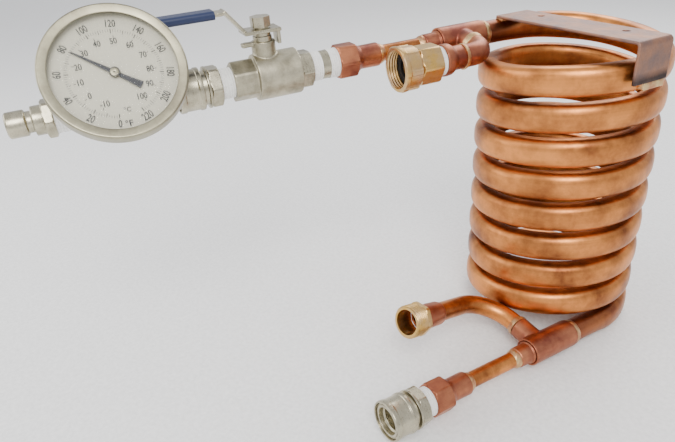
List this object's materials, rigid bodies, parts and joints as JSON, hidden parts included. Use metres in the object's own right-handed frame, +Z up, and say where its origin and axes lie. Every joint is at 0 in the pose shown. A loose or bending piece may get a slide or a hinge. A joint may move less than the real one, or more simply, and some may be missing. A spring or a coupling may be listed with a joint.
{
  "type": "counterflow wort chiller",
  "caption": "Tube-in-tube copper coil on a screw-on strip, with ball valve, dial thermometer, quick couplings and garden-hose water connections.",
  "frame": {"origin": "midway between the two screw holes, on the top face of the mounting strip", "axes": "+X along the strip from the plain end to the bent leg, +Z up along the coil axis, -Y towards the fittings"},
  "size_m": [0.2033, 0.4779, 0.301],
  "materials": {
    "coil_copper": "bent copper tube, satin, browned by heat and handling",
    "fitting_copper": "copper fittings, heat-tinted red brown by brazing",
    "braze_alloy": "pale gold brazing alloy, slightly rough",
    "strip_copper": "copper strip dulled grey mauve by heat",
    "stainless": "turned and cast stainless steel, satin",
    "bezel_steel": "brushed stainless steel case and bezel",
    "ball_steel": "polished stainless steel ball",
    "ptfe": "white thread-seal tape and seats",
    "black_rubber": "black nitrile rubber",
    "blue_vinyl": "dark blue dipped vinyl sleeve",
    "brass_fitting": "machined brass, lightly tarnished",
    "dial_white": "cream-white printed dial",
    "pointer_grey": "dark grey painted pointer",
    "clear_glass": "clear flat glass"
  },
  "bodies": {
    "chiller": {"outer_coil": "coil_copper", "inner_tube": "coil_copper", "top_wort_tube": "coil_copper", "bottom_wort_tube": "coil_copper", "inlet_pipe": "coil_copper", "top_tee": "fitting_copper", "bottom_tee": "fitting_copper", "top_reducer": "fitting_copper", "bottom_reducer": "fitting_copper", "top_adapter": "fitting_copper", "bottom_adapter": "fitting_copper", "outlet_elbow": "fitting_copper", "outlet_adapter": "fitting_copper", "inlet_cup": "fitting_copper", "top_braze": "braze_alloy", "bottom_braze": "braze_alloy", "bracket_braze": "braze_alloy", "mounting_bracket": "strip_copper", "upper_nipple": "stainless", "valve_nipple": "stainless", "lower_nipple": "stainless", "valve_body": "stainless", "valve_end_cap": "stainless", "stem_gland": "stainless", "upper_socket": "stainless", "lower_socket": "stainless", "upper_snap_ring": "stainless", "lower_snap_ring": "stainless", "upper_lock_balls": "ball_steel", "lower_lock_balls": "ball_steel", "top_tape": "ptfe", "bottom_tape": "ptfe", "outlet_tape": "ptfe", "ball_seats": "ptfe", "upper_oring": "black_rubber", "lower_oring": "black_rubber", "hose_washer": "black_rubber", "hose_tailpiece": "brass_fitting", "male_hose_fitting": "brass_fitting"},
    "valve_lever": {"valve_ball": "ball_steel", "valve_stem": "stainless", "lever_plate": "stainless", "lever_sleeve": "blue_vinyl", "lever_washer": "stainless", "lever_nut": "stainless"},
    "upper_collar": {"upper_sleeve": "stainless"},
    "lower_collar": {"lower_sleeve": "stainless"},
    "hose_nut": {"hose_swivel_nut": "brass_fitting"},
    "thermometer_head": {"head_plug": "stainless", "outlet_plug": "stainless", "head_tee": "stainless", "head_tape": "ptfe", "thermometer_stem": "stainless", "dial_case": "bezel_steel", "dial_plate": "dial_white", "bezel": "bezel_steel", "dial_glass": "clear_glass"},
    "needle": {"pointer": "pointer_grey"}
  },
  "joints": [
    {"name": "valve_turn", "type": "hinge", "parent": "chiller", "child": "valve_lever", "pos_m": [-0.09569, -0.22137, -0.02006], "axis": [0, 0.0309, -0.9995], "range_deg": [0, 90]},
    {"name": "upper_collar_slide", "type": "slide", "parent": "chiller", "child": "upper_collar", "axis": [0.1161, 0.9928, 0.0307], "range_m": [0, 0.003], "stiffness_N_per_m": 1500, "springref_m": -0.003},
    {"name": "lower_collar_slide", "type": "slide", "parent": "chiller", "child": "lower_collar", "axis": [-0.0201, 0.999, -0.041], "range_m": [0, 0.003], "stiffness_N_per_m": 1500, "springref_m": -0.003},
    {"name": "hose_nut_spin", "type": "hinge", "parent": "chiller", "child": "hose_nut", "pos_m": [-0.04613, -0.12288, -0.02093], "axis": [-0.1161, -0.9928, -0.0307], "continuous": true},
    {"name": "thermometer_swivel", "type": "hinge", "parent": "chiller", "child": "thermometer_head", "pos_m": [-0.10816, -0.32799, -0.02336], "axis": [-0.1161, -0.9928, -0.0307], "range_deg": [-120, 3]},
    {"name": "pointer_turn", "type": "hinge", "parent": "thermometer_head", "child": "needle", "pos_m": [-0.06761, -0.3337, 0.00803], "axis": [0.7859, -0.1107, 0.6084], "range_deg": [-210, 120]}
  ]
}
